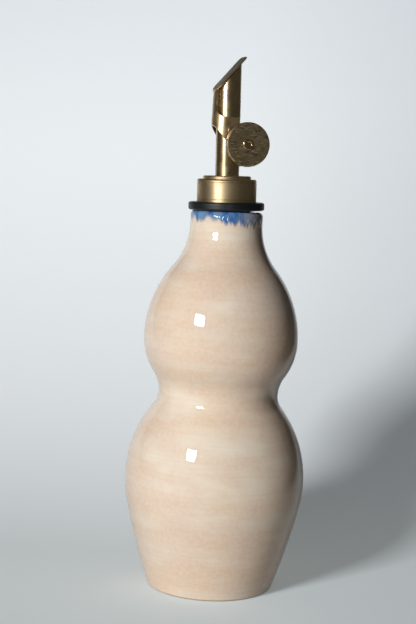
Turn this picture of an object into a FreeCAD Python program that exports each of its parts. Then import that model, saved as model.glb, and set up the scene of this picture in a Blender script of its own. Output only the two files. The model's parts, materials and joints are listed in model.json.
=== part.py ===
"""Ceramic oil dispenser with a weighted pourer: a parametric FreeCAD document.

Frame: +Z up, origin on the table under the bottle's axis, +X the way it pours, millimetres.
The pourer leans back a little in the neck, so its pieces are drawn upright in a frame of
their own, z = 0 on the underside of the rubber flange, and a Placement leans them. The flap
is drawn in a third frame, whose origin is the hinge.
"""
import FreeCAD, Part
import math
import os
import Sketcher

SIZES = {
    # bottle: radius and height of each place where the outside runs upright
    "foot_radius": 24.0,
    "foot_round": 1.0,
    "belly_radius": 33.84,
    "belly_height": 41.0,
    "waist_radius": 22.5,
    "waist_rise": 32.4,
    "bulb_radius": 28.92,
    "bulb_rise": 20.6,
    "neck_radius": 13.45,
    "neck_rise": 43.0,
    "neck_length": 4.8,
    # bottle: radii of the arcs that its outline is made of
    "flank_arc": 260.0,
    "belly_arc": 46.0,
    "waist_low_arc": 7.8,
    "waist_high_arc": 13.0,
    "shoulder_arc": 25.5,
    "wall": 3.9,
    "floor_thick": 5.0,
    "floor_round": 6.0,
    "lip_round": 1.6,
    "lip_inner_round": 0.7,
    # how the pourer sits in the neck
    "lean": 1.5,
    "pourer_offset": -0.37,
    "seat_gap": 0.02,
    # rubber stopper
    "flange_radius": 14.1,
    "flange_thick": 2.9,
    "flange_round": 0.7,
    "plug_play": 0.55,
    "plug_taper": 0.5,
    "plug_length": 15.0,
    "plug_round": 0.8,
    # brass collar and washer
    "collar_radius": 11.05,
    "collar_height": 8.5,
    "collar_round": 0.8,
    "collar_foot_round": 0.16,
    "groove_width": 0.3,
    "groove_deep_width": 0.15,
    "groove_depth": 0.2,
    "groove_below_top": 1.15,
    "line_above_base": 1.1,
    "line_width": 0.16,
    "line_depth": 0.12,
    "washer_radius": 8.9,
    "washer_thick": 1.2,
    "washer_round": 0.5,
    # spout tube
    "spout_radius": 4.45,
    "spout_wall": 0.55,
    "spout_slip": 0.02,
    "spout_rise": 41.6,
    "spout_slope": 48.0,
    # hinge pins, riveted in the spout's wall
    "pin_rise": 16.6,
    "pin_radius": 0.9,
    "pin_running": 0.05,
    "pin_head_radius": 1.4,
    "pin_head_thick": 0.5,
    "pin_head_round": 0.25,
    "pin_head_gap": 0.1,
    # flap: one folded sheet, a channel round the back of the spout with a cover on top
    "sheet": 0.45,
    "channel_play": 0.15,
    "channel_offset": 1.32,
    "flap_lean": 2.6,
    "cover_gap": 0.25,
    "cover_overhang": 0.86,
    "cover_margin": 0.2,
    "cover_round": 1.8,
    "cover_low_round": 2.5,
    "bend_round": 1.2,
    "tab_length": 0.25,
    "strip_width": 3.9,
    "flare_arc": 6.5,
    "ear_top": 4.85,
    "ear_front": 2.8,
    "web_bottom": 1.9,
    "web_round": 0.8,
    "ear_slope": 51.4,
    "ear_margin": 4.2,
    "ear_corner": 3.6,
    # weights and the axle that joins them
    "axle_gap": 0.52,
    "axle_drop": 4.74,
    "axle_radius": 0.95,
    "axle_slip": 0.02,
    "spacer_radius": 1.8,
    "shank_radius": 1.35,
    "disc_radius": 8.15,
    "disc_thick": 2.2,
    "disc_chamfer": 0.4,
    "disc_gap": 0.25,
    "rivet_radius": 2.0,
    "rivet_rise": 0.45,
    "rivet_round": 0.3,
    "dimple_radius": 0.95,
    "dimple_depth": 0.9,
    # how far a shape that cuts or is cut reaches past the other
    "cut_past": 2.0,
}

# places that several pieces share, each worked out from the sizes
WAIST_HEIGHT = "(sizes.belly_height + sizes.waist_rise)"
BULB_HEIGHT = f"({WAIST_HEIGHT} + sizes.bulb_rise)"
NECK_HEIGHT = f"({BULB_HEIGHT} + sizes.neck_rise)"
RIM = f"({NECK_HEIGHT} + sizes.neck_length)"
# the leaning flange meets the rim at the back, so its middle is this far above the rim
LIFT = "((sizes.neck_radius - sizes.lip_round + sizes.pourer_offset) * sin(sizes.lean) + sizes.seat_gap)"
BORE = "(sizes.neck_radius - sizes.wall)"
PLUG = f"({BORE} - sizes.plug_play)"
SPOUT_HOLE = "(sizes.spout_radius + sizes.spout_slip)"
SPOUT_BORE = "(sizes.spout_radius - sizes.spout_wall)"
COLLAR_TOP = "(sizes.flange_thick + sizes.collar_height)"
WASHER_TOP = f"({COLLAR_TOP} + sizes.washer_thick)"
HINGE = f"({WASHER_TOP} + sizes.pin_rise)"
SPOUT_TOP = f"({WASHER_TOP} + sizes.spout_rise)"
PIN_HOLE = "(sizes.pin_radius + sizes.pin_running)"
CHANNEL_IN = "(sizes.spout_radius + sizes.channel_play)"
CHANNEL_OUT = f"({CHANNEL_IN} + sizes.sheet)"
HEAD_IN = f"({CHANNEL_OUT} + sizes.pin_head_gap)"
HEAD_OUT = f"({HEAD_IN} + sizes.pin_head_thick)"
DISC_IN = f"({HEAD_OUT} + sizes.disc_gap)"
DISC_OUT = f"({DISC_IN} + sizes.disc_thick)"
WEB_BACK = f"(sizes.channel_offset + {CHANNEL_OUT})"
# the axle passes in front of the spout
AXLE_REACH = "(sizes.spout_radius + sizes.axle_radius + sizes.axle_gap)"
EAR_LOW = "(-sizes.axle_drop - sizes.ear_margin)"
EAR_TIP = f"({AXLE_REACH} + sizes.ear_margin)"
COVER_SLOPE = "(sizes.spout_slope + sizes.flap_lean)"
# distance from the hinge, square to the cover, to its underside
COVER_DISTANCE = (f"(({SPOUT_TOP} - {HINGE} - sizes.spout_radius * tan(sizes.spout_slope))"
                  " * cos(sizes.spout_slope) + sizes.cover_gap)")
# along the cover from the foot of that distance to its upper end
COVER_END = (f"((sizes.spout_radius + sizes.cover_overhang) / cos(sizes.spout_slope)"
             f" + ({COVER_DISTANCE} + sizes.sheet) * tan(sizes.spout_slope))")

doc = FreeCAD.newDocument("oil_dispenser")
sheet = doc.addObject("Spreadsheet::Sheet", "sizes")
for row, (alias, value) in enumerate(SIZES.items(), start=1):
    sheet.set(f"A{row}", alias)
    sheet.set(f"B{row}", str(value))
    sheet.setAlias(f"B{row}", alias)
doc.recompute()


def value(expression):
    """The number that an expression over the sheet comes to now. The sheet calls its cells by alias alone."""
    found = sheet.evalExpression(str(expression).replace("sizes.", ""))
    return float(getattr(found, "Value", found))


def new_sketch(name, plane="XY_Plane", body=None):
    """An empty sketch, on an origin plane of its body or, without one, turned to that plane."""
    if body:
        sketch = body.newObject("Sketcher::SketchObject", name)
        origin = next(part for part in body.Origin.OriginFeatures if part.Role == plane)
        sketch.AttachmentSupport = (origin, [""])
        sketch.MapMode = "FlatFace"
        return sketch
    sketch = doc.addObject("Sketcher::SketchObject", name)
    turns = {"XY_Plane": (0, 0, 0), "XZ_Plane": (0, 0, 90), "YZ_Plane": (90, 0, 90)}
    sketch.Placement = FreeCAD.Placement(FreeCAD.Vector(), FreeCAD.Rotation(*turns[plane]))
    return sketch


def bind(sketch, name, kind, expression, *places):
    """A named constraint whose size follows an expression."""
    index = sketch.addConstraint(Sketcher.Constraint(kind, *places, value(expression)))
    sketch.renameConstraint(index, name)
    sketch.setExpression(f"Constraints.{name}", expression)


def join(sketch, kind, *places):
    sketch.addConstraint(Sketcher.Constraint(kind, *places))


def hold(sketch, name, point, across, up):
    """Hold a point at (across, up), or on an axis where that is 0."""
    for label, kind, expression, axis in (("x", "DistanceX", across, -2), ("y", "DistanceY", up, -1)):
        if expression == "0":
            join(sketch, "PointOnObject", point, 1, axis)
        else:
            bind(sketch, f"{name}_{label}", kind, expression, -1, 1, point, 1)


def towards(start, end, distance):
    """The point this far from start on the way to end."""
    length = math.dist(start, end)
    return tuple(a + (b - a) * distance / length for a, b in zip(start, end))


def add_arc(sketch, centre, first, last):
    """An arc run anticlockwise about its centre from one point to another."""
    angles = [math.atan2(point[1] - centre[1], point[0] - centre[0]) for point in (first, last)]
    circle = Part.Circle(FreeCAD.Vector(*centre, 0), FreeCAD.Vector(0, 0, 1), math.dist(centre, first))
    return sketch.addGeometry(Part.ArcOfCircle(circle, *angles))


def add_line(sketch, first, last):
    return sketch.addGeometry(Part.LineSegment(FreeCAD.Vector(*first, 0), FreeCAD.Vector(*last, 0)))


def add_loop(sketch, edges, corners):
    """A closed loop of edges, each a name and the point where it starts, and for an arc its centre
    and whether it turns left. Edges run smoothly on from one another but for those in corners."""
    made = {}
    tips = []
    for (name, start, *arc), (_, end, *_) in zip(edges, edges[1:] + edges[:1]):
        if not arc:
            made[name] = add_line(sketch, start, end)
            tips.append((1, 2))
            continue
        centre, turns_left = arc
        made[name] = add_arc(sketch, centre, *((start, end) if turns_left else (end, start)))
        tips.append((1, 2) if turns_left else (2, 1))
    for number, (name, *_) in enumerate(edges):
        before = edges[number - 1][0]
        kind = "Coincident" if name in corners else "Tangent"
        join(sketch, kind, made[before], tips[number - 1][1], made[name], tips[number][0])
    return made


def corner_round(before, corner, after, radius):
    """A corner's rounding: where it starts and ends, its centre, and whether it turns left."""
    one, other = towards(corner, before, 1), towards(corner, after, 1)
    half_angle = math.asin(math.dist(one, other) / 2)
    setback = radius / math.tan(half_angle)
    middle = tuple((a + b) / 2 for a, b in zip(one, other))
    turn = (one[0] - corner[0]) * (other[1] - corner[1]) - (one[1] - corner[1]) * (other[0] - corner[0])
    return (towards(corner, before, setback), towards(corner, after, setback),
            towards(corner, middle, radius / math.sin(half_angle)), turn < 0)


def outline(sketch, corners):
    """A closed outline of straight lines through corners: name, across, up and maybe a rounding."""
    places = [(value(across), value(up)) for _, across, up, *_ in corners]
    edges = []
    sharp = []
    for number, (name, _, _, *rounding) in enumerate(corners):
        if not rounding:
            sharp.append(name)
            edges.append((name, places[number]))
            continue
        after = places[(number + 1) % len(places)]
        start, end, *arc = corner_round(places[number - 1], places[number], after, value(rounding[0]))
        edges += [(f"{name}_round", start, *arc), (name, end)]
    made = add_loop(sketch, edges, sharp)
    for number, (name, across, up, *rounding) in enumerate(corners):
        point = sketch.addGeometry(Part.Point(FreeCAD.Vector(*places[number], 0)), True)
        hold(sketch, name, point, across, up)
        for line in (corners[number - 1][0], name):
            join(sketch, "PointOnObject", point, 1, made[line])
        if rounding:
            bind(sketch, f"{name}_round", "Radius", rounding[0], made[f"{name}_round"])


def revolve(body, sketch, name):
    """A full turn of a sketch about its own upright axis."""
    turn = body.newObject("PartDesign::Revolution", name)
    turn.Profile = sketch
    turn.ReferenceAxis = (sketch, ["V_Axis"])
    turn.Angle = 360
    doc.recompute()


def turned(name, points, plane="XZ_Plane"):
    """A body of revolution about its sketch's upright axis, from points (name, radius, height)."""
    body = doc.addObject("PartDesign::Body", name)
    sketch = new_sketch(f"{name}_section", plane, body)
    outline(sketch, points)
    revolve(body, sketch, f"{name}_turned")
    return body


def stand_in_neck(part):
    """Lean a piece of the pourer about the Y axis and set it on the rim."""
    part.Placement = FreeCAD.Placement(FreeCAD.Vector(), FreeCAD.Rotation(FreeCAD.Vector(0, -1, 0), 1))
    part.setExpression("Placement.Base.x", "sizes.pourer_offset")
    part.setExpression("Placement.Base.z", f"{RIM} + {LIFT}")
    part.setExpression("Placement.Rotation.Angle", "sizes.lean")


def hang_on_hinge(part):
    """Put a piece of the flap on the hinge, closed against the spout."""
    part.Placement = FreeCAD.Placement(FreeCAD.Vector(), FreeCAD.Rotation(FreeCAD.Vector(0, 1, 0), 1))
    part.setExpression("Placement.Base.x", f"sizes.pourer_offset - {HINGE} * sin(sizes.lean)")
    part.setExpression("Placement.Base.z", f"{RIM} + {LIFT} + {HINGE} * cos(sizes.lean)")
    part.setExpression("Placement.Rotation.Angle", "sizes.flap_lean - sizes.lean")


# ---------------------------------------------------------------- ceramic bottle

def tangent_pair(wide, narrow, narrow_arc):
    """Centres of the two arcs that run from a widest place to a narrowest one and meet smoothly."""
    rise = abs(narrow[1] - wide[1])
    half_angle = math.atan((wide[0] - narrow[0]) / rise)
    wide_arc = rise / math.sin(2 * half_angle) - narrow_arc
    return (wide[0] - wide_arc, wide[1]), (narrow[0] + narrow_arc, narrow[1])


def crossing(one, one_distance, other, other_distance):
    """The left one of the two points at these distances from two centres."""
    span = math.dist(one, other)
    along = (span**2 + one_distance**2 - other_distance**2) / (2 * span)
    aside = math.sqrt(one_distance**2 - along**2)
    ux, uy = (other[0] - one[0]) / span, (other[1] - one[1]) / span
    return min((one[0] + along * ux - side * uy, one[1] + along * uy + side * ux) for side in (aside, -aside))


def bottle_arcs():
    """The outside's arcs from foot to neck: name, lower end, upper end, centre, whether it turns left."""
    belly = value("belly_radius"), value("belly_height")
    waist = value("waist_radius"), value(WAIST_HEIGHT)
    bulb = value("bulb_radius"), value(BULB_HEIGHT)
    neck = value("neck_radius"), value(NECK_HEIGHT)
    foot_round, flank_arc, belly_arc = value("foot_round"), value("flank_arc"), value("belly_arc")
    foot = value("foot_radius") - foot_round, foot_round
    low = belly[0] - belly_arc, belly[1]
    flank = crossing(foot, flank_arc - foot_round, low, flank_arc - belly_arc)
    high, pinch = tangent_pair(belly, waist, value("waist_low_arc"))
    under, spread = tangent_pair(bulb, waist, value("waist_high_arc"))
    over, shoulder = tangent_pair(bulb, neck, value("shoulder_arc"))
    foot_end = towards(flank, foot, flank_arc)
    flank_end = towards(flank, low, flank_arc)
    pinch_end = towards(high, pinch, math.dist(high, belly))
    spread_end = towards(under, spread, math.dist(under, bulb))
    shoulder_end = towards(over, shoulder, math.dist(over, bulb))
    return [
        ("foot", (foot[0], 0), foot_end, foot, True),
        ("flank", foot_end, flank_end, flank, True),
        ("belly_low", flank_end, belly, low, True),
        ("belly_high", belly, pinch_end, high, True),
        ("waist_low", pinch_end, waist, pinch, False),
        ("waist_high", waist, spread_end, spread, False),
        ("bulb_low", spread_end, bulb, under, True),
        ("bulb_high", bulb, shoulder_end, over, True),
        ("shoulder", shoulder_end, neck, shoulder, False),
    ]


def inside_edges(outer):
    """The same arcs a wall's thickness in, from neck to floor, and the rounding into the floor."""
    wall, floor, floor_round = value("wall"), value("floor_thick"), value("floor_round")
    edges = []
    for name, _, high, centre, turns_left in reversed(outer[1:]):
        radius = math.dist(centre, high) + (-wall if turns_left else wall)
        edges.append((f"{name}_inside", towards(centre, high, radius), centre, not turns_left))
    flank = outer[1][3]
    radius = value("flank_arc") - wall
    up = floor + floor_round
    corner = flank[0] + math.sqrt((radius - floor_round)**2 - (up - flank[1])**2), up
    return edges + [
        ("corner", towards(flank, corner, radius), corner, False),
        ("floor", (corner[0], floor)),
        ("axis", (0, floor)),
    ]


def make_bottle():
    """One thrown wall of even thickness: the inside arcs share the outside arcs' centres."""
    body = doc.addObject("PartDesign::Body", "bottle")
    sketch = new_sketch("bottle_section", "XZ_Plane", body)
    outer = bottle_arcs()
    neck, rim, bore = value("neck_radius"), value(RIM), value(BORE)
    lip, lip_inner = value("lip_round"), value("lip_inner_round")
    edges = [("base", (0, 0))]
    edges += [(name, low, centre, turns_left) for name, low, _, centre, turns_left in outer]
    edges += [
        ("neck", outer[-1][2]),
        ("lip", (neck, rim - lip), (neck - lip, rim - lip), True),
        ("rim", (neck - lip, rim)),
        ("lip_inner", (bore + lip_inner, rim), (bore + lip_inner, rim - lip_inner), True),
        ("bore", (bore, rim - lip_inner)),
    ]
    made = add_loop(sketch, edges + inside_edges(outer), ["base", "axis"])

    for line in ("base", "rim", "floor"):
        join(sketch, "Horizontal", made[line])
    for line in ("neck", "bore", "axis"):
        join(sketch, "Vertical", made[line])
    join(sketch, "Coincident", made["base"], 1, -1, 1)
    for name, *_ in outer[1:]:
        join(sketch, "Coincident", made[f"{name}_inside"], 3, made[name], 3)
    for name, tip in (("belly_high", 1), ("waist_high", 2), ("bulb_high", 1)):
        join(sketch, "Horizontal", made[name], 3, made[name], tip)

    for size, arc in (("foot_round", "foot"), ("flank_arc", "flank"), ("belly_arc", "belly_low"),
                      ("waist_low_arc", "waist_low"), ("waist_high_arc", "waist_high"),
                      ("shoulder_arc", "shoulder"), ("lip_round", "lip"),
                      ("lip_inner_round", "lip_inner"), ("floor_round", "corner")):
        bind(sketch, size, "Radius", f"sizes.{size}", made[arc])
    for name, edge, tip, across, up in (
            ("belly", "belly_low", 2, "sizes.belly_radius", "sizes.belly_height"),
            ("waist", "waist_high", 2, "sizes.waist_radius", WAIST_HEIGHT),
            ("bulb", "bulb_low", 2, "sizes.bulb_radius", BULB_HEIGHT),
            ("neck", "neck", 1, "sizes.neck_radius", NECK_HEIGHT)):
        bind(sketch, f"{name}_x", "DistanceX", across, -1, 1, made[edge], tip)
        bind(sketch, f"{name}_y", "DistanceY", up, -1, 1, made[edge], tip)
    bind(sketch, "foot_x", "DistanceX", "sizes.foot_radius - sizes.foot_round", -1, 1, made["base"], 2)
    bind(sketch, "rim_y", "DistanceY", RIM, -1, 1, made["rim"], 1)
    bind(sketch, "bore_x", "DistanceX", BORE, -1, 1, made["bore"], 1)
    bind(sketch, "floor_y", "DistanceY", "sizes.floor_thick", -1, 1, made["floor"], 2)
    revolve(body, sketch, "bottle_thrown")
    return body


# ---------------------------------------------------------------- stopper, collar, washer

def make_stopper():
    """Rubber flange on the rim, with a tapered plug in the neck and a bore for the spout."""
    body = turned("stopper", [
        ("bore_end", SPOUT_HOLE, "-sizes.plug_length"),
        ("plug_end", f"{PLUG} - sizes.plug_taper", "-sizes.plug_length", "sizes.plug_round"),
        ("plug_top", PLUG, "0"),
        ("flange_low", "sizes.flange_radius", "0", "sizes.flange_round"),
        ("flange_high", "sizes.flange_radius", "sizes.flange_thick", "sizes.flange_round"),
        ("bore_top", SPOUT_HOLE, "sizes.flange_thick"),
    ])
    stand_in_neck(body)
    return body


def make_collar():
    """Brass sleeve on the flange, with a fine line near its foot and a groove under its shoulder."""
    low = "sizes.flange_thick"
    line = f"({low} + sizes.line_above_base)"
    groove = f"({COLLAR_TOP} - sizes.groove_below_top)"
    radius = "sizes.collar_radius"
    body = turned("collar", [
        ("bore_low", SPOUT_HOLE, low),
        ("foot", radius, low, "sizes.collar_foot_round"),
        ("line_low", radius, f"{line} - sizes.line_width / 2"),
        ("line_deep", f"{radius} - sizes.line_depth", line),
        ("line_high", radius, f"{line} + sizes.line_width / 2"),
        ("groove_low", radius, f"{groove} - sizes.groove_width / 2"),
        ("groove_deep_low", f"{radius} - sizes.groove_depth", f"{groove} - sizes.groove_deep_width / 2"),
        ("groove_deep_high", f"{radius} - sizes.groove_depth", f"{groove} + sizes.groove_deep_width / 2"),
        ("groove_high", radius, f"{groove} + sizes.groove_width / 2"),
        ("shoulder", radius, COLLAR_TOP, "sizes.collar_round"),
        ("bore_high", SPOUT_HOLE, COLLAR_TOP),
    ])
    stand_in_neck(body)
    return body


def make_washer():
    """Brass washer where the spout leaves the collar."""
    body = turned("washer", [
        ("bore_low", SPOUT_HOLE, COLLAR_TOP),
        ("foot", "sizes.washer_radius", COLLAR_TOP),
        ("edge", "sizes.washer_radius", WASHER_TOP, "sizes.washer_round"),
        ("bore_high", SPOUT_HOLE, WASHER_TOP),
    ])
    stand_in_neck(body)
    return body


# ---------------------------------------------------------------- spout and its pins

def make_spout():
    """Brass tube from the end of the plug to a slanted mouth, with two holes for the hinge pins."""
    body = doc.addObject("PartDesign::Body", "spout")
    section = new_sketch("spout_section", "XY_Plane", body)
    for name, radius in (("outside", "sizes.spout_radius"), ("inside", SPOUT_BORE)):
        circle = section.addGeometry(Part.Circle(FreeCAD.Vector(), FreeCAD.Vector(0, 0, 1), value(radius)))
        join(section, "Coincident", circle, 3, -1, 1)
        bind(section, name, "Radius", radius, circle)
    section.setExpression("AttachmentOffset.Base.z", "-sizes.plug_length")
    tube = body.newObject("PartDesign::Pad", "spout_tube")
    tube.Profile = section
    tube.setExpression("Length", f"sizes.plug_length + {SPOUT_TOP}")
    doc.recompute()

    mouth = new_sketch("spout_mouth", "XZ_Plane", body)
    reach = "(sizes.spout_radius + sizes.cut_past)"
    low = f"{SPOUT_TOP} - (sizes.spout_radius + {reach}) * tan(sizes.spout_slope)"
    high = f"{SPOUT_TOP} + sizes.cut_past * tan(sizes.spout_slope)"
    outline(mouth, [("low", f"-{reach}", low), ("high", reach, high), ("corner", f"-{reach}", high)])
    cut = body.newObject("PartDesign::Pocket", "spout_slanted")
    cut.Profile = mouth
    cut.Type = "ThroughAll"
    cut.Midplane = True
    doc.recompute()

    seat = new_sketch("spout_pin_seat", "XZ_Plane", body)
    hole = seat.addGeometry(Part.Circle(FreeCAD.Vector(0, value(HINGE), 0), FreeCAD.Vector(0, 0, 1),
                                        value("pin_radius")))
    join(seat, "PointOnObject", hole, 3, -2)
    bind(seat, "height", "DistanceY", HINGE, -1, 1, hole, 3)
    bind(seat, "radius", "Radius", "sizes.pin_radius + sizes.spout_slip", hole)
    drilled = body.newObject("PartDesign::Pocket", "spout_drilled")
    drilled.Profile = seat
    drilled.Type = "ThroughAll"
    drilled.Midplane = True
    doc.recompute()
    stand_in_neck(body)
    return body


def make_pin(side, sign):
    """Rivet in the spout's wall that the flap turns on, its head clear outside the ear."""
    body = turned(f"pin_{side}", [
        ("inner", "0", f"{sign} * {SPOUT_BORE}"),
        ("shank", "sizes.pin_radius", f"{sign} * {SPOUT_BORE}"),
        ("neck", "sizes.pin_radius", f"{sign} * {HEAD_IN}"),
        ("head_in", "sizes.pin_head_radius", f"{sign} * {HEAD_IN}"),
        ("head_out", "sizes.pin_head_radius", f"{sign} * {HEAD_OUT}", "sizes.pin_head_round"),
        ("end", "0", f"{sign} * {HEAD_OUT}"),
    ], "XY_Plane")
    hang_on_hinge(body)
    return body


# ---------------------------------------------------------------- flap

def swept(name, sketch, direction, length, both=False):
    """A solid drawn out of a closed sketch along an axis."""
    solid = doc.addObject("Part::Extrusion", name)
    solid.Base = sketch
    solid.DirMode = "Custom"
    solid.Dir = FreeCAD.Vector(*direction)
    solid.Solid = True
    solid.Symmetric = both
    solid.setExpression("LengthFwd", length)
    return solid


def combined(name, kind, base, tool):
    """A Part::Cut, Part::Common or Part::Fuse of two objects."""
    result = doc.addObject(f"Part::{kind}", name)
    result.Base = base
    result.Tool = tool
    return result


def across(name, radius, reach, place=None):
    """A cylinder along Y this far each way, on the hinge or at another (x, z) place of the flap's."""
    rod = doc.addObject("Part::Cylinder", name)
    rod.Placement = FreeCAD.Placement(FreeCAD.Vector(), FreeCAD.Rotation(FreeCAD.Vector(1, 0, 0), 90))
    rod.setExpression("Radius", radius)
    rod.setExpression("Height", f"2 * {reach}")
    rod.setExpression("Placement.Base.y", reach)
    if place:
        rod.setExpression("Placement.Base.x", place[0])
        rod.setExpression("Placement.Base.z", place[1])
    return rod


def make_channel(top):
    """Tall U of sheet round the back of the spout, open towards the pouring side."""
    plan = new_sketch("channel_plan")
    front_at = f"({EAR_TIP} + sizes.cut_past)"
    front, middle = value(front_at), (-value("channel_offset"), 0)
    inner, outer = value(CHANNEL_IN), value(CHANNEL_OUT)
    made = add_loop(plan, [
        ("outside_right", (front, -outer)),
        ("outside", (middle[0], -outer), middle, False),
        ("outside_left", (middle[0], outer)),
        ("end_left", (front, outer)),
        ("inside_left", (front, inner)),
        ("inside", (middle[0], inner), middle, True),
        ("inside_right", (middle[0], -inner)),
        ("end_right", (front, -inner)),
    ], ["outside_right", "end_left", "inside_left", "end_right"])
    for line in ("outside_right", "outside_left", "inside_left", "inside_right"):
        join(plan, "Horizontal", made[line])
    for line in ("end_left", "end_right"):
        join(plan, "Vertical", made[line])
        bind(plan, line, "DistanceX", front_at, -1, 1, made[line], 1)
    join(plan, "PointOnObject", made["outside"], 3, -1)
    join(plan, "Coincident", made["inside"], 3, made["outside"], 3)
    bind(plan, "offset", "DistanceX", "-sizes.channel_offset", -1, 1, made["outside"], 3)
    bind(plan, "outside", "Radius", CHANNEL_OUT, made["outside"])
    bind(plan, "inside", "Radius", CHANNEL_IN, made["inside"])
    plan.setExpression("Placement.Base.z", f"{EAR_LOW} - sizes.cut_past")
    return swept("channel", plan, (0, 0, 1), f"{top} - {EAR_LOW} + 2 * sizes.cut_past")


def cover_place(along, distance):
    """Expressions for the (x, z) of a point this far along the cover and square out from the hinge."""
    return (f"(({along}) * cos({COVER_SLOPE}) - ({distance}) * sin({COVER_SLOPE}))",
            f"(({along}) * sin({COVER_SLOPE}) + ({distance}) * cos({COVER_SLOPE}))")


def make_side(bend, outer, top):
    """What the folded sheet may fill, seen from the side: ears, strip and the cover's upper face."""
    heel = f"-{WEB_BACK} + (sizes.web_bottom - {EAR_LOW}) / tan(sizes.ear_slope)"
    ear_back = "(-sizes.axle_drop + sizes.ear_margin)"
    side = new_sketch("flap_side", "XZ_Plane")
    outline(side, [
        ("web_foot", f"-{WEB_BACK}", "sizes.web_bottom", "sizes.web_round"),
        ("ear_heel", heel, EAR_LOW),
        ("ear_toe", EAR_TIP, EAR_LOW, "sizes.ear_corner"),
        ("ear_nose", EAR_TIP, ear_back, "sizes.ear_corner"),
        ("ear_notch", "sizes.ear_front", ear_back),
        ("ear_high", "sizes.ear_front", "sizes.ear_top"),
        ("cover_low", top[0], "sizes.ear_top"),
        ("cover_high", *top),
        ("bend", *cover_place(bend, outer), "sizes.bend_round"),
    ])
    reach = f"({CHANNEL_OUT} + sizes.cover_margin + sizes.cut_past)"
    return swept("side_block", side, (0, 1, 0), f"2 * {reach}", both=True)


def make_flare(top):
    """What is cut from the channel's left side above the ear, so that only the strip goes on up."""
    sketch = new_sketch("flap_flare", "YZ_Plane")
    strip, arc, wall = value("sizes.strip_width / 2"), value("flare_arc"), value(CHANNEL_IN)
    ear_top, high = value("ear_top"), value(f"{top} + sizes.cut_past")
    beyond = value(f"{CHANNEL_OUT} + sizes.cut_past")
    centre = strip + arc, ear_top + math.sqrt(arc**2 - (strip + arc - wall)**2)
    made = add_loop(sketch, [
        ("flare", (strip, centre[1]), centre, True),
        ("ledge", (wall, ear_top)),
        ("side", (beyond, ear_top)),
        ("top", (beyond, high)),
        ("strip", (strip, high)),
    ], ["ledge", "side", "top", "strip"])
    for line in ("ledge", "top"):
        join(sketch, "Horizontal", made[line])
    for line in ("side", "strip"):
        join(sketch, "Vertical", made[line])
    bind(sketch, "flare", "Radius", "sizes.flare_arc", made["flare"])
    bind(sketch, "strip_x", "DistanceX", "sizes.strip_width / 2", -1, 1, made["strip"], 1)
    bind(sketch, "wall_x", "DistanceX", CHANNEL_IN, -1, 1, made["ledge"], 1)
    bind(sketch, "side_x", "DistanceX", f"{CHANNEL_OUT} + sizes.cut_past", -1, 1, made["side"], 1)
    bind(sketch, "ledge_y", "DistanceY", "sizes.ear_top", -1, 1, made["ledge"], 1)
    bind(sketch, "top_y", "DistanceY", f"{top} + sizes.cut_past", -1, 1, made["top"], 1)
    return swept("flare_left", sketch, (1, 0, 0), f"2 * ({WEB_BACK} + {EAR_TIP})", both=True)


def make_cover(bend):
    """The cover and the tab that joins it to the strip, thicker than the sheet until it is trimmed."""
    plan = new_sketch("cover_plan")
    half_strip = "sizes.strip_width / 2"
    half_cover = "(sizes.spout_radius + sizes.cover_margin)"
    start, widens = f"{bend} - sizes.cut_past", f"({bend} + sizes.tab_length)"
    outline(plan, [
        ("tab_right", start, f"-{half_strip}"),
        ("neck_right", widens, f"-{half_strip}"),
        ("low_right", widens, f"-{half_cover}", "sizes.cover_low_round"),
        ("high_right", COVER_END, f"-{half_cover}", "sizes.cover_round"),
        ("high_left", COVER_END, half_cover, "sizes.cover_round"),
        ("low_left", widens, half_cover, "sizes.cover_low_round"),
        ("neck_left", widens, half_strip),
        ("tab_left", start, half_strip),
    ])
    foot_x, foot_z = cover_place("0", COVER_DISTANCE)
    plan.Placement = FreeCAD.Placement(FreeCAD.Vector(), FreeCAD.Rotation(FreeCAD.Vector(0, -1, 0), 1))
    plan.setExpression("Placement.Base.x", foot_x)
    plan.setExpression("Placement.Base.z", foot_z)
    plan.setExpression("Placement.Rotation.Angle", COVER_SLOPE)
    slab = doc.addObject("Part::Extrusion", "cover_slab")
    slab.Base = plan
    slab.DirMode = "Normal"
    slab.Solid = True
    slab.setExpression("LengthFwd", "sizes.sheet + sizes.cut_past")
    return slab


def make_flap():
    """The folded sheet: ears on the pins, a strip up the back and a cover over the mouth."""
    outer = f"({COVER_DISTANCE} + sizes.sheet)"
    bend = f"((-{WEB_BACK} + {outer} * sin({COVER_SLOPE})) / cos({COVER_SLOPE}))"
    top = cover_place(f"{COVER_END} + sizes.cut_past", outer)
    side_block = make_side(bend, outer, top)
    flare_left = make_flare(top[1])
    flare_right = doc.addObject("Part::Mirroring", "flare_right")
    flare_right.Source = flare_left
    flare_right.Normal = FreeCAD.Vector(0, 1, 0)

    channel = combined("channel_trimmed", "Common", make_channel(top[1]), side_block)
    half_flared = combined("channel_flared_left", "Cut", channel, flare_left)
    strip = combined("channel_flared", "Cut", half_flared, flare_right)
    cover = combined("cover", "Common", make_cover(bend), side_block)
    folded = combined("flap_folded", "Fuse", strip, cover)
    reach = f"({CHANNEL_OUT} + sizes.cut_past)"
    pin_hole = across("pin_hole", PIN_HOLE, reach)
    axle_hole = across("axle_hole", "sizes.axle_radius + sizes.axle_slip", reach,
                       (AXLE_REACH, "-sizes.axle_drop"))
    flap = combined("flap", "Cut", combined("flap_on_pins", "Cut", folded, pin_hole), axle_hole)
    hang_on_hinge(flap)
    return flap


# ---------------------------------------------------------------- weights and axle

def at_axle(body):
    """Move the body's sketch to the axle's place on the flap."""
    sketch = body.Group[0]
    sketch.setExpression("AttachmentOffset.Base.x", AXLE_REACH)
    sketch.setExpression("AttachmentOffset.Base.z", "-sizes.axle_drop")
    hang_on_hinge(body)


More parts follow.
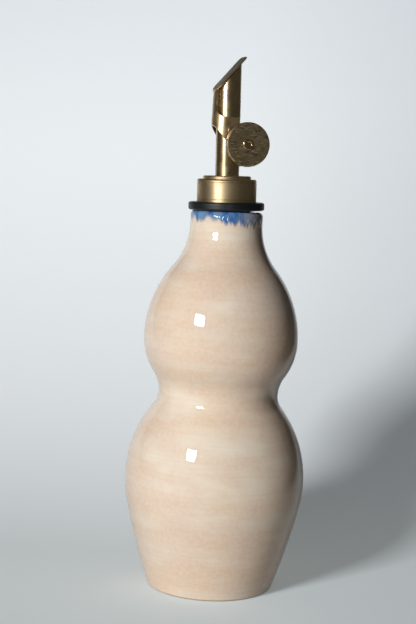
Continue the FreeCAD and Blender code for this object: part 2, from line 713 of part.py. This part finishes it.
def make_weight(side, sign):
    """Round brass weight outside an ear, clear of the pin's head."""
    hole = "(sizes.shank_radius + sizes.axle_slip)"
    edge = "sizes.disc_radius - sizes.disc_chamfer"
    body = turned(f"weight_{side}", [
        ("hole_in", hole, f"{sign} * {DISC_IN}"),
        ("face_in", edge, f"{sign} * {DISC_IN}"),
        ("rim_in", "sizes.disc_radius", f"{sign} * ({DISC_IN} + sizes.disc_chamfer)"),
        ("rim_out", "sizes.disc_radius", f"{sign} * ({DISC_OUT} - sizes.disc_chamfer)"),
        ("face_out", edge, f"{sign} * {DISC_OUT}"),
        ("hole_out", hole, f"{sign} * {DISC_OUT}"),
    ], "XY_Plane")
    at_axle(body)
    return body


def make_axle():
    """Rod through both ears and weights, with a spacer inside each weight and dimpled rivet ends."""
    end = f"({DISC_OUT} + sizes.rivet_rise)"
    half = [
        ("dimple", "0", f"({end} - sizes.dimple_depth)"),
        ("dimple_wall", "sizes.dimple_radius", f"({end} - sizes.dimple_depth)"),
        ("dimple_lip", "sizes.dimple_radius", end, "sizes.rivet_round"),
        ("head_out", "sizes.rivet_radius", end, "sizes.rivet_round"),
        ("head_in", "sizes.rivet_radius", DISC_OUT),
        ("neck", "sizes.shank_radius", DISC_OUT),
        ("spacer_out_low", "sizes.shank_radius", DISC_IN),
        ("spacer_out", "sizes.spacer_radius", DISC_IN),
        ("spacer_in", "sizes.spacer_radius", CHANNEL_OUT),
        ("ear", "sizes.axle_radius", CHANNEL_OUT),
    ]
    left = [(f"left_{name}", radius, up, *more) for name, radius, up, *more in half]
    right = [(f"right_{name}", radius, f"-1 * {up}", *more) for name, radius, up, *more in reversed(half)]
    body = turned("axle", left + right, "XY_Plane")
    at_axle(body)
    return body


parts = [make_bottle(), make_stopper(), make_collar(), make_washer(), make_spout(), make_flap(), make_axle()]
for side, sign in (("left", "1"), ("right", "-1")):
    parts.append(make_pin(side, sign))
    parts.append(make_weight(side, sign))
doc.recompute()

for item in doc.Objects:
    if {"Invalid", "Error"} & set(item.State):
        raise RuntimeError(f"{item.Name} failed: {item.State}")
    if item.TypeId == "Sketcher::SketchObject" and not item.FullyConstrained:
        raise RuntimeError(f"{item.Name} is not fully held")
for part in parts:
    if part.Shape.isNull() or not part.Shape.isValid() or len(part.Shape.Solids) != 1:
        raise RuntimeError(f"{part.Label} is not one valid solid")

os.makedirs("parts", exist_ok=True)
for part in parts:
    part.Shape.exportStep(f"parts/{part.Label}.step")
    box = part.Shape.BoundBox
    print(f"{part.Label:13} {part.Shape.Volume:10.2f} mm3  x {box.XMin:7.2f} {box.XMax:7.2f}"
          f"  y {box.YMin:7.2f} {box.YMax:7.2f}  z {box.ZMin:7.2f} {box.ZMax:7.2f}")
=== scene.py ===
# %% [markdown]
# # Oil dispenser: a thrown, glazed bottle with a weighted brass pourer
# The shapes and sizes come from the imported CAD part. This script gives each piece the finish
# that the real one has, lights it like a small studio and sets up the camera. All places are
# in metres, with z = 0 on the table and the bottle's axis at x = y = 0.

import json
import math

import bmesh
import bpy
from mathutils import Matrix, Vector

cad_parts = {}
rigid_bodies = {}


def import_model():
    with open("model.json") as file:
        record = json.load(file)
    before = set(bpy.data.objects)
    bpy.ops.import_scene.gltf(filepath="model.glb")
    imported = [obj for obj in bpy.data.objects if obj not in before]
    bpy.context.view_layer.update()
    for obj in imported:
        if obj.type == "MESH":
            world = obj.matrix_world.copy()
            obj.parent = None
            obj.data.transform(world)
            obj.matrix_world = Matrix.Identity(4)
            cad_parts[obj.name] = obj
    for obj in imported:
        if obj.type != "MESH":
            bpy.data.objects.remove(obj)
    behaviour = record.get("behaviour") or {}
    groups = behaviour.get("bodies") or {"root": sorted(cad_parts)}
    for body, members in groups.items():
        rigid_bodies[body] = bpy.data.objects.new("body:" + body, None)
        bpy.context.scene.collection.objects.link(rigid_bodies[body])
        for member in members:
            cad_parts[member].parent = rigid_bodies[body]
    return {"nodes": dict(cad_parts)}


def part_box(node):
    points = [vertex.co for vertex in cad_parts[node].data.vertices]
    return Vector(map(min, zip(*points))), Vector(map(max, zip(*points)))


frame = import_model()
for item in [item for item in bpy.data.objects if item.name in ("Cube", "Light", "Camera")]:
    bpy.data.objects.remove(item)
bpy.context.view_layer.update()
MM = 0.001
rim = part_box("bottle")[1].z

# %% [markdown]
# ## Words for building materials
# A material is a tree of nodes. Adding each node by hand takes three or four lines, so a few
# short helpers do it: one adds a node and fills its inputs with numbers or links, and the
# others wrap the two nodes that turn up most, a blend of two colours and a change of range.

# %% Helpers for node trees
def fill(tree, socket, source):
    """Link a socket from another, or give it a plain value."""
    if isinstance(source, bpy.types.NodeSocket):
        tree.links.new(source, socket)
    else:
        socket.default_value = source


def add(tree, kind, inputs=None, **settings):
    """A node with its settings, and its inputs filled by name or number."""
    node = tree.nodes.new(kind)
    for name, setting in settings.items():
        setattr(node, name, setting)
    for key, source in (inputs or {}).items():
        fill(tree, node.inputs[key], source)
    return node


def blend(tree, share, first, second):
    """The colour between two, by a share from 0 to 1."""
    mix = tree.nodes.new("ShaderNodeMix")
    mix.data_type = "RGBA"
    for index, source in ((0, share), (6, first), (7, second)):
        fill(tree, mix.inputs[index], source)
    return mix.outputs[2]


def spread(tree, value, low, high, to_low=0.0, to_high=1.0, smooth=True):
    """Stretch the range low to high over another, and hold it at the ends."""
    kind = "SMOOTHSTEP" if smooth else "LINEAR"
    inputs = {"Value": value, "From Min": low, "From Max": high,
              "To Min": to_low, "To Max": to_high}
    return add(tree, "ShaderNodeMapRange", inputs, interpolation_type=kind).outputs["Result"]


def reckon(tree, operation, first, second=0.0):
    """A sum, product or other arithmetic on two values."""
    return add(tree, "ShaderNodeMath", {0: first, 1: second}, operation=operation).outputs[0]


def colour(red, green, blue):
    """An opaque colour, in linear light."""
    return (red, green, blue, 1.0)


def bumps(tree, shader, relief):
    """Tilt a shader's surface by a relief in metres."""
    bump = add(tree, "ShaderNodeBump", {"Height": relief, "Distance": 1.0, "Strength": 1.0})
    tree.links.new(bump.outputs[0], shader.inputs["Normal"])


print("helpers ready: fill, add, blend, spread, reckon, colour, bumps")


# %% [markdown]
# ## Effects that several finishes share
# Cloudy patches, small specks and fine scratches turn up in the glaze, in the brass and in the
# rubber, each time with another size and strength. Each effect is a node group, built once,
# with named inputs. A group only puts out a mask: what the mask does is up to the material.

# %% Start a group with its sockets
def new_group(name, inputs, outputs):
    """An empty group with named inputs and their usual values, and named outputs."""
    tree = bpy.data.node_groups.new(name, "ShaderNodeTree")
    for label, usual in inputs.items():
        kind = "NodeSocketVector" if usual is None else "NodeSocketFloat"
        socket = tree.interface.new_socket(label, in_out="INPUT", socket_type=kind)
        if usual is not None:
            socket.default_value = usual
    for label in outputs:
        tree.interface.new_socket(label, in_out="OUTPUT", socket_type="NodeSocketFloat")
    return tree, tree.nodes.new("NodeGroupInput").outputs, tree.nodes.new("NodeGroupOutput").inputs


def place(tree, group, vector, **inputs):
    """A group's node in a material, with its inputs filled."""
    node = add(tree, "ShaderNodeGroup", node_tree=group)
    fill(tree, node.inputs["Vector"], vector)
    for label, source in inputs.items():
        fill(tree, node.inputs[label], source)
    return node.outputs[0]


# %% Cloudy patches
patches, given, result = new_group("patches", {"Vector": None, "Size": 0.01, "Detail": 3.0,
                                               "Low": 0.4, "High": 0.6}, ["Mask"])
cloud = add(patches, "ShaderNodeTexNoise", {
    "Vector": given["Vector"], "Scale": reckon(patches, "DIVIDE", 1.0, given["Size"]),
    "Detail": given["Detail"], "Roughness": 0.55})
patches.links.new(spread(patches, cloud.outputs[0], given["Low"], given["High"]), result["Mask"])
print("patches:", [socket.name for socket in patches.interface.items_tree])

# %% [markdown]
# Specks are the cells of a Voronoi texture: the distance to each cell's middle makes a dot, and
# the cell's own random value leaves most of the dots out, so that they are scattered.

# %% Scattered specks
specks, given, result = new_group("specks", {"Vector": None, "Spacing": 0.004, "Radius": 0.0002,
                                             "Share": 0.3}, ["Mask"])
cells = add(specks, "ShaderNodeTexVoronoi", {
    "Vector": given["Vector"], "Scale": reckon(specks, "DIVIDE", 1.0, given["Spacing"])})
reach = reckon(specks, "DIVIDE", given["Radius"], given["Spacing"])
core = reckon(specks, "MULTIPLY", reach, 0.4)
dot = spread(specks, cells.outputs["Distance"], reach, core, 0.0, 1.0)
lot = add(specks, "ShaderNodeSeparateColor", {0: cells.outputs["Color"]}).outputs[0]
chosen = reckon(specks, "LESS_THAN", lot, given["Share"])
specks.links.new(reckon(specks, "MULTIPLY", dot, chosen), result["Mask"])
print("specks:", [socket.name for socket in specks.interface.items_tree])

# %% [markdown]
# Handling leaves fine scratches that run every way. A noise squeezed along one direction gives
# long thin streaks, and two of them, turned against each other, cross.

# %% Fine scratches
scratches, given, result = new_group("scratches", {"Vector": None, "Width": 0.0001}, ["Mask"])
streaks = []
for turn in ((0.3, 0.2, 0.5), (-0.6, 0.4, -0.9)):
    run = add(scratches, "ShaderNodeMapping", {
        "Vector": given["Vector"], "Rotation": turn, "Scale": (0.05, 1.0, 1.0)}).outputs[0]
    noise = add(scratches, "ShaderNodeTexNoise", {
        "Vector": run, "Scale": reckon(scratches, "DIVIDE", 1.0, given["Width"]), "Detail": 1.0})
    streaks.append(spread(scratches, noise.outputs[0], 0.62, 0.72))
scratches.links.new(reckon(scratches, "MAXIMUM", *streaks), result["Mask"])
print("scratches:", [socket.name for socket in scratches.interface.items_tree])


# %% Start a material
def new_material(name, **uniform):
    """A material, its tree, its Principled shader with plain values set, and Object coordinates."""
    material = bpy.data.materials.new(name)
    material.use_nodes = True
    tree = material.node_tree
    shader = tree.nodes["Principled BSDF"]
    for label, number in uniform.items():
        shader.inputs[label.replace("_", " ")].default_value = number
    return material, tree, shader, add(tree, "ShaderNodeTexCoord").outputs["Object"]


def stretched(tree, vector, *scale):
    """Coordinates squeezed along each axis, which stretches a pattern along the small ones."""
    return add(tree, "ShaderNodeMapping", {"Vector": vector, "Scale": scale}).outputs[0]


def dress(material, nodes):
    """Give CAD nodes a material in place of the plain one they came with."""
    for name in nodes:
        piece = frame["nodes"][name]
        for slot in piece.material_slots:
            slot.material = material
    print(f"{material.name}: {', '.join(nodes)}")


# %% [markdown]
# ## The glaze
# The bottle was thrown on a wheel and dipped in a glossy peach glaze. Where the glaze ran
# thicker it is cream, and thin it shows pink, in soft bands round the pot, because the
# fingers left faint ridges. Iron in the clay leaves a few brown specks. One noise stretched
# round the pot gives the bands, since the height is squeezed less than the width, and a
# second, stretched further, gives the fine lines that the turning left.

# %% Peach glaze with bands, clouds, lines and specks
GLOSS = 0.03
glaze, tree, shader, where = new_material("peach_glaze", Roughness=GLOSS, IOR=1.52)
CREAM, PEACH = colour(0.82, 0.73, 0.60), colour(0.765, 0.575, 0.42)
BLUSH, TAN, IRON = colour(0.73, 0.55, 0.44), colour(0.68, 0.50, 0.38), colour(0.32, 0.2, 0.12)
round_pot = stretched(tree, where, 0.22, 0.22, 1.0)
bands = place(tree, patches, round_pot, Size=9 * MM, Detail=4.0, Low=0.36, High=0.66)
clouds = place(tree, patches, where, Size=16 * MM, Detail=5.0, Low=0.38, High=0.64)
grain = place(tree, patches, where, Size=1.3 * MM, Detail=2.0, Low=0.3, High=0.7)
turning = stretched(tree, where, 0.05, 0.05, 1.0)
lines = place(tree, patches, turning, Size=1.0 * MM, Detail=3.0, Low=0.4, High=0.75)
iron = place(tree, specks, where, Spacing=3.2 * MM, Radius=0.22 * MM, Share=0.35)
body = blend(tree, bands, PEACH, CREAM)
for mask, strength, shade in ((clouds, 0.55, BLUSH), (grain, 0.4, CREAM),
                              (lines, 0.22, TAN), (iron, 0.4, IRON)):
    body = blend(tree, reckon(tree, "MULTIPLY", mask, strength), body, shade)
print("glaze: bands, clouds, grain, lines and iron specks")

# %% [markdown]
# The rim was dipped again, in cobalt blue, which ran down in short uneven drips. How far
# it ran depends on the direction round the neck, so the height of its edge comes from how far
# round a point is, and from a noise that hardly changes with z, for the drips. On the side
# where the dip was deepest the blue is thin and fades.

# %% Blue rim with drips
DIP, DEEPER, DRIP = 1.7 * MM, 1.4 * MM, 2.0 * MM
COBALT, SMALT = colour(0.008, 0.105, 0.35), colour(0.15, 0.27, 0.44)
height = add(tree, "ShaderNodeSeparateXYZ", {0: where}).outputs["Z"]
upright = stretched(tree, where, 1.0, 1.0, 0.16)
side = add(tree, "ShaderNodeVectorMath", {0: where, 1: (0.966, -0.259, 0.0)},
           operation="DOT_PRODUCT").outputs["Value"]
tilt = spread(tree, side, -9 * MM, 8 * MM)
drips = place(tree, patches, upright, Size=2.2 * MM, Detail=3.0, Low=0.3, High=0.7)
depth = reckon(tree, "ADD", reckon(tree, "MULTIPLY", tilt, DEEPER),
               reckon(tree, "MULTIPLY", drips, DRIP))
above = reckon(tree, "SUBTRACT", height, reckon(tree, "SUBTRACT", rim - DIP, depth))
blue = spread(tree, above, -1.5 * MM, 0.7 * MM)
faint = spread(tree, side, 3 * MM, 11 * MM, 0.985, 0.6)
thick = place(tree, patches, upright, Size=3.4 * MM, Detail=5.0, Low=0.43, High=0.66)
body = blend(tree, reckon(tree, "MULTIPLY", blue, faint), body, blend(tree, thick, SMALT, COBALT))
print(f"blue rim: {DIP / MM:.1f} to {(DIP + DEEPER + DRIP) / MM:.1f} mm deep")

# %% [markdown]
# Under the foot the clay is bare, so that the pot doesn't stick to the kiln's shelf: below
# half a millimetre the glaze stops, the clay is buff and it doesn't shine. Everywhere else the
# glaze has faint ridges and ripples, and it stands in a small roll along the blue's edge.

# %% Bare clay at the foot, and the glaze's surface
RIDGE, RIPPLE, ROLL_UP = 0.05 * MM, 0.10 * MM, 0.2 * MM
glazed = spread(tree, height, 0.35 * MM, 0.6 * MM)
fill(tree, shader.inputs["Base Color"], blend(tree, glazed, colour(0.5, 0.38, 0.27), body))
fill(tree, shader.inputs["Roughness"], spread(tree, glazed, 0.0, 1.0, 0.8, GLOSS))
ridges = add(tree, "ShaderNodeTexNoise", {
    "Vector": stretched(tree, where, 0.06, 0.06, 1.0),
    "Scale": 1 / (5 * MM), "Detail": 1.0}).outputs[0]
ripple = add(tree, "ShaderNodeTexNoise", {
    "Vector": where, "Scale": 1 / (7 * MM), "Detail": 1.5}).outputs[0]
roll = reckon(tree, "MULTIPLY", blue, spread(tree, above, 0.4 * MM, 2.2 * MM, 1.0, 0.0))
relief = reckon(tree, "MULTIPLY", ridges, RIDGE)
for mask, rise in ((ripple, RIPPLE), (roll, ROLL_UP)):
    relief = reckon(tree, "ADD", relief, reckon(tree, "MULTIPLY", mask, rise))
bumps(tree, shader, relief)
dress(glaze, ["bottle"])


# %% [markdown]
# ## Aged brass
# The pourer is brass that has dulled with handling. All of it shares one make-up: a clean
# yellow that browns in cloudy patches, fine scratches, and a gloss that changes with both. The
# pieces differ in how polished they are and how far they have browned, so one function makes
# all the finishes.

# %% One brass, several polishes
CLEAN, BROWN, WORN = colour(0.66, 0.50, 0.29), colour(0.30, 0.21, 0.11), colour(0.80, 0.66, 0.42)


def aged_brass(name, gloss, tarnish, marks, patch, brown=BROWN):
    """Brass: its roughness, how far it browned, how scratched it is, and the patches' size."""
    material, tree, shader, where = new_material(name, Metallic=1.0)
    cloudy = place(tree, patches, where, Size=patch, Detail=5.0, Low=0.35, High=0.7)
    lines = place(tree, scratches, where, Width=0.16 * MM)
    pits = place(tree, specks, where, Spacing=0.9 * MM, Radius=0.16 * MM, Share=0.5)
    dull = reckon(tree, "ADD", reckon(tree, "MULTIPLY", cloudy, tarnish),
                  reckon(tree, "MULTIPLY", pits, tarnish * 0.5))
    body = blend(tree, dull, CLEAN, brown)
    body = blend(tree, reckon(tree, "MULTIPLY", lines, marks), body, WORN)
    fill(tree, shader.inputs["Base Color"], body)
    rough = reckon(tree, "ADD", spread(tree, cloudy, 0.0, 1.0, gloss, gloss * 1.35),
                   reckon(tree, "MULTIPLY", lines, marks * 0.12))
    fill(tree, shader.inputs["Roughness"], rough)
    bumps(tree, shader, reckon(tree, "SUBTRACT", reckon(tree, "MULTIPLY", cloudy, 0.004 * MM),
                               reckon(tree, "MULTIPLY", lines, marks * 0.003 * MM)))
    return material


# %% Brass on the pieces
for finish, pieces in (
        (aged_brass("spout_brass", 0.23, 0.35, 0.15, 5 * MM), ["spout", "pin_left", "pin_right"]),
        (aged_brass("cover_brass", 0.32, 0.45, 0.2, 4 * MM), ["flap"]),
        (aged_brass("collar_brass", 0.36, 0.6, 0.15, 8 * MM, colour(0.24, 0.18, 0.10)),
         ["collar", "washer"]),
        (aged_brass("weight_brass", 0.34, 0.95, 0.9, 1.5 * MM, colour(0.14, 0.10, 0.055)),
         ["weight_left", "weight_right"]),
        (aged_brass("rivet_brass", 0.16, 0.4, 0.3, 1.2 * MM), ["axle"])):
    dress(finish, pieces)

# %% [markdown]
# ## Rubber
# The stopper is moulded black rubber. Rubber isn't quite black and isn't quite even: it has a
# very fine leathery surface and picks up a little dust, which is what makes it look soft.

# %% Black rubber
BLACK, DUSTY, LINT = colour(0.005, 0.008, 0.009), colour(0.02, 0.027, 0.028), colour(0.2, 0.2, 0.2)
rubber, tree, shader, where = new_material("black_rubber", IOR=1.45)
dust = place(tree, patches, where, Size=4 * MM, Detail=6.0, Low=0.45, High=0.8)
lint = place(tree, specks, where, Spacing=1.6 * MM, Radius=0.12 * MM, Share=0.25)
body = blend(tree, reckon(tree, "MULTIPLY", dust, 0.35), BLACK, DUSTY)
body = blend(tree, reckon(tree, "MULTIPLY", lint, 0.35), body, LINT)
fill(tree, shader.inputs["Base Color"], body)
fill(tree, shader.inputs["Roughness"], spread(tree, dust, 0.0, 1.0, 0.42, 0.6))
leather = add(tree, "ShaderNodeTexNoise", {
    "Vector": where, "Scale": 1 / (0.35 * MM), "Detail": 2.0}).outputs[0]
bumps(tree, shader, reckon(tree, "MULTIPLY", leather, 0.012 * MM))
dress(rubber, ["stopper"])

# %% [markdown]
# ## The studio
# The camera stands low in front, a little to the left of the pouring plane and turned slightly
# about its own line of sight. Its turn is built from three simple ones: which way it
# faces, how far it looks down, and the roll.

# %% Camera
CAMERA_AZIMUTH, CAMERA_DISTANCE, CAMERA_HEIGHT = math.radians(-15.0), 0.503, 0.1569
YAW, PITCH, ROLL = math.radians(0.603), math.radians(6.04), math.radians(2.76)
camera_data = bpy.data.cameras.new("camera")
camera_data.lens, camera_data.sensor_width = 77.88, 36.0
camera = bpy.data.objects.new("camera", camera_data)
bpy.context.scene.collection.objects.link(camera)
towards = Vector((math.sin(CAMERA_AZIMUTH), -math.cos(CAMERA_AZIMUTH), 0.0))
spot = towards * CAMERA_DISTANCE + Vector((0, 0, CAMERA_HEIGHT))
turn = (Matrix.Rotation(CAMERA_AZIMUTH + YAW, 4, "Z")
        @ Matrix.Rotation(math.pi / 2 - PITCH, 4, "X") @ Matrix.Rotation(ROLL, 4, "Z"))
camera.matrix_world = Matrix.Translation(spot) @ turn
camera_data.clip_start = 0.01
bpy.context.scene.camera = camera
print("camera", [round(number, 3) for number in camera.location])

# %% [markdown]
# The floor and the wall are one sheet of pale paper that curves up behind the object, so there
# is no line between them. Its profile is a straight run with its back edge spun upwards about
# an axis above the table, and it ends just out of the camera's sight, because polished metal
# would show a taller wall.

# %% Paper sweep
SWEEP_HALF_WIDTH, SWEEP_FRONT = 0.48, -0.8
SWEEP_FOLD, SWEEP_CURVE, SWEEP_TOP = 0.036, 0.36, 0.29
mesh = bmesh.new()
corners = [mesh.verts.new((across, along, 0.0)) for across, along in (
    (-SWEEP_HALF_WIDTH, SWEEP_FRONT), (SWEEP_HALF_WIDTH, SWEEP_FRONT),
    (SWEEP_HALF_WIDTH, SWEEP_FOLD), (-SWEEP_HALF_WIDTH, SWEEP_FOLD))]
mesh.faces.new(corners)
fold = mesh.edges.get((corners[2], corners[3]))
bmesh.ops.spin(mesh, geom=[fold, *fold.verts], cent=(0, SWEEP_FOLD, SWEEP_CURVE), axis=(1, 0, 0),
               angle=math.acos(1 - SWEEP_TOP / SWEEP_CURVE), steps=48)
bmesh.ops.rotate(mesh, cent=(0, 0, 0), verts=mesh.verts,
                 matrix=Matrix.Rotation(CAMERA_AZIMUTH, 3, "Z"))
bmesh.ops.recalc_face_normals(mesh, faces=mesh.faces)
if mesh.faces[0].normal.z < 0:
    bmesh.ops.reverse_faces(mesh, faces=mesh.faces)
sweep_mesh = bpy.data.meshes.new("paper_sweep")
mesh.to_mesh(sweep_mesh)
mesh.free()
for face in sweep_mesh.polygons:
    face.use_smooth = True
sweep = bpy.data.objects.new("paper_sweep", sweep_mesh)
bpy.context.scene.collection.objects.link(sweep)
print("sweep:", len(sweep_mesh.polygons), "faces")

# %% [markdown]
# Paper this close to a pot would light its shaded side from below, which a real studio keeps
# dark with black cards. Here the paper is pale for the camera and for reflections, and a
# darker warm grey for the light that it would bounce. To the far right it is nearly black for
# all but the camera, as a black card there would be. For the camera and for reflections its
# colour is painted darker in front, to the right and high up: painted shade where the light
# falls off. It also glows faintly there, most near the object: a painted fill light that lifts
# the object's shadow on the floor. Its back is clear, so that the object can be looked at
# from behind.

# %% Which part of the paper, and what looks at it
CARD_FROM, CARD_TO = 0.14, 0.26
paper, tree, shader, where = new_material("pale_paper", Roughness=0.9, Specular_IOR_Level=0.1)
path = add(tree, "ShaderNodeLightPath")
level = add(tree, "ShaderNodeSeparateXYZ", {0: add(tree, "ShaderNodeMapping", {
    "Vector": where, "Rotation": (0.0, 0.0, -CAMERA_AZIMUTH)}).outputs[0]}).outputs
behind = spread(tree, level["Y"], -0.12, 0.22)
painted_shade_right = spread(tree, level["X"], 0.0, 0.16)
high = spread(tree, level["Z"], 0.14, 0.3)
carded = spread(tree, level["X"], CARD_FROM, CARD_TO)
mirrored = reckon(tree, "MULTIPLY", path.outputs["Is Glossy Ray"],
                  reckon(tree, "SUBTRACT", 1.0, carded))
looked_at = reckon(tree, "MAXIMUM", path.outputs["Is Camera Ray"], mirrored)
print(f"paper: fades to black card from {CARD_FROM} to {CARD_TO} m to the right")

# %% Paper
# Painted shade: the paper's colour darkens in front, to the right and high up, where the light on
# it falls off.
pale = blend(tree, behind, colour(0.46, 0.50, 0.52), colour(0.76, 0.79, 0.81))
pale = blend(tree, reckon(tree, "MULTIPLY", painted_shade_right, 0.4), pale, colour(0.4, 0.43, 0.47))
pale = blend(tree, reckon(tree, "MULTIPLY", high, 0.5), pale, colour(0.48, 0.515, 0.55))
unseen = blend(tree, carded, colour(0.46, 0.42, 0.365), colour(0.08, 0.08, 0.08))
# Painted fill light: a faint glow for the camera and reflections, brighter near the object, that
# lifts the shadow on the floor.
painted_fill_glow = blend(tree, behind, colour(0.21, 0.23, 0.225), colour(0.135, 0.15, 0.16))
fill(tree, shader.inputs["Base Color"], blend(tree, looked_at, unseen, pale))
fill(tree, shader.inputs["Emission Color"], blend(tree, looked_at, colour(0, 0, 0), painted_fill_glow))
shader.inputs["Emission Strength"].default_value = 1.0
back = add(tree, "ShaderNodeNewGeometry").outputs["Backfacing"]
see_through = add(tree, "ShaderNodeMixShader", {
    0: back, 1: shader.outputs[0], 2: add(tree, "ShaderNodeBsdfTransparent").outputs[0]})
tree.links.new(see_through.outputs[0], tree.nodes["Material Output"].inputs["Surface"])
sweep_mesh.materials.append(paper)
print("paper:", paper.name)


# %% [markdown]
# One softbox in front and to the left makes nearly all the light, the small white rectangles
# on the glaze and the soft shadow. A constant falloff keeps it as bright on the wall as on
# the object, as a larger lamp further away would be. A low card fills the belly's underside,
# and a dim lamp behind lights only the object's back, which light linking allows: its light
# reaches the object's pieces and nothing else. The room adds only a little.

# %% Make a lamp
def soft_light(name, azimuth, distance, height, aim, width, tall, power, mirrored=True):
    """A rectangular lamp at an azimuth round the object, turned to a height on its axis."""
    data = bpy.data.lights.new(name, "AREA")
    data.shape, data.size, data.size_y, data.energy = "RECTANGLE", width, tall, power
    data.use_nodes = True
    falloff = add(data.node_tree, "ShaderNodeLightFalloff", {"Strength": 1.0}).outputs["Constant"]
    data.node_tree.links.new(falloff, data.node_tree.nodes["Emission"].inputs["Strength"])
    lamp = bpy.data.objects.new(name, data)
    angle = math.radians(azimuth)
    lamp.location = (math.sin(angle) * distance, -math.cos(angle) * distance, height)
    lamp.rotation_euler = (Vector((0, 0, aim)) - lamp.location).to_track_quat("-Z", "Y").to_euler()
    lamp.visible_camera, lamp.visible_glossy = False, mirrored
    bpy.context.scene.collection.objects.link(lamp)
    print(f"{name}: {power} W")
    return lamp


# %% Three lamps
soft_light("softbox", azimuth=-47.5, distance=0.5, height=0.264, aim=0.09,
           width=0.112, tall=0.088, power=8.8)
soft_light("low_card", azimuth=-38.0, distance=0.45, height=0.04, aim=0.04,
           width=0.3, tall=0.06, power=2.0, mirrored=False)
back_fill = soft_light("back_fill", azimuth=165.0, distance=0.3, height=0.24, aim=0.09,
                       width=0.2, tall=0.1, power=3.0, mirrored=False)
lit_pieces = bpy.data.collections.new("lit_from_behind")
for node in frame["nodes"].values():
    lit_pieces.objects.link(node)
back_fill.light_linking.receiver_collection = lit_pieces

# %% [markdown]
# The world stands in for the room. The camera sees it as pale as the paper, metal mirrors it
# dim, and it gives hardly any light, so that the shaded side stays dark.

# %% Room
world = bpy.data.worlds.new("room")
world.use_nodes = True
bpy.context.scene.world = world
tree = world.node_tree
path = add(tree, "ShaderNodeLightPath")
room = blend(tree, path.outputs["Is Glossy Ray"],
             colour(0.008, 0.008, 0.008), colour(0.06, 0.058, 0.052))
room = blend(tree, path.outputs["Is Camera Ray"], room, colour(0.74, 0.78, 0.81))
tree.links.new(room, tree.nodes["Background"].inputs["Color"])
bpy.context.scene.view_settings.view_transform = "Standard"
print("world:", world.name)
